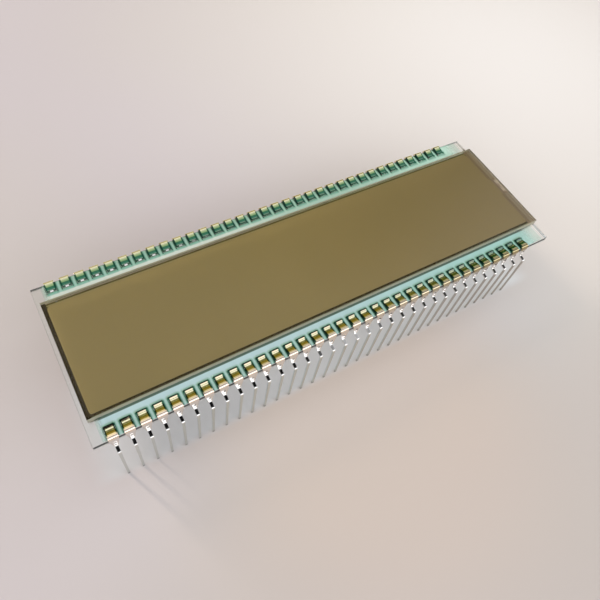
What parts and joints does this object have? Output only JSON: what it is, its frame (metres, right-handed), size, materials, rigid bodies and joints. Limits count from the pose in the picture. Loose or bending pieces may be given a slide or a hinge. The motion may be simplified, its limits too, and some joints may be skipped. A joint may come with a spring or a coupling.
{
  "type": "lcd screen",
  "caption": "Flat reflective display panel of laminated glass, with a bare ledge along each long side where rows of formed clip pins grip the glass and run down to a circuit board.",
  "frame": {"origin": "middle of the rear glass's outline, on the plane of the pin tips", "axes": "+X runs along the pin rows, away from the end where the first pin stands nearest the glass's end, +Y runs across the panel and +Z points out of the viewing face"},
  "size_m": [0.0934, 0.0332, 0.0148],
  "materials": {
    "glass": "clear, cut edges",
    "polariser": "satin film",
    "reflector": "satin foil on film",
    "seal": "printed epoxy",
    "plug": "cured, matt",
    "crystal": "clear liquid layer",
    "electrode": "clear conductive oxide",
    "dot": "silver filled epoxy",
    "adhesive": "glossy, slightly cloudy",
    "contact": "bright tin plate"
  },
  "bodies": {
    "root": {"common_electrode": "electrode", "common_leads": "electrode", "crossover_dots": "dot", "digit_1_electrodes": "electrode", "digit_2_electrodes": "electrode", "digit_3_electrodes": "electrode", "digit_4_electrodes": "electrode", "digit_5_electrodes": "electrode", "digit_6_electrodes": "electrode", "digit_7_electrodes": "electrode", "digit_8_electrodes": "electrode", "end_seal": "plug", "far_adhesive": "adhesive", "far_pins_01_02": "contact", "far_pins_03_04": "contact", "far_pins_05_06": "contact", "far_pins_07_08": "contact", "far_pins_09_10": "contact", "far_pins_11_12": "contact", "far_pins_13_14": "contact", "far_pins_15_16": "contact", "far_pins_17_18": "contact", "far_pins_19_20": "contact", "far_pins_21_22": "contact", "far_pins_23_24": "contact", "far_pins_25_26": "contact", "far_pins_27_28": "contact", "far_pins_29_30": "contact", "far_pins_31_32": "contact", "far_pins_33_34": "contact", "front_glass": "glass", "front_polariser": "polariser", "liquid_crystal": "crystal", "near_adhesive": "adhesive", "near_pins_01_02": "contact", "near_pins_03_04": "contact", "near_pins_05_06": "contact", "near_pins_07_08": "contact", "near_pins_09_10": "contact", "near_pins_11_12": "contact", "near_pins_13_14": "contact", "near_pins_15_16": "contact", "near_pins_17_18": "contact", "near_pins_19_20": "contact", "near_pins_21_22": "contact", "near_pins_23_24": "contact", "near_pins_25_26": "contact", "near_pins_27_28": "contact", "near_pins_29_30": "contact", "near_pins_31_32": "contact", "near_pins_33_34": "contact", "perimeter_seal": "seal", "rear_glass": "glass", "rear_polariser": "polariser", "reflector": "reflector"}
  },
  "joints": []
}
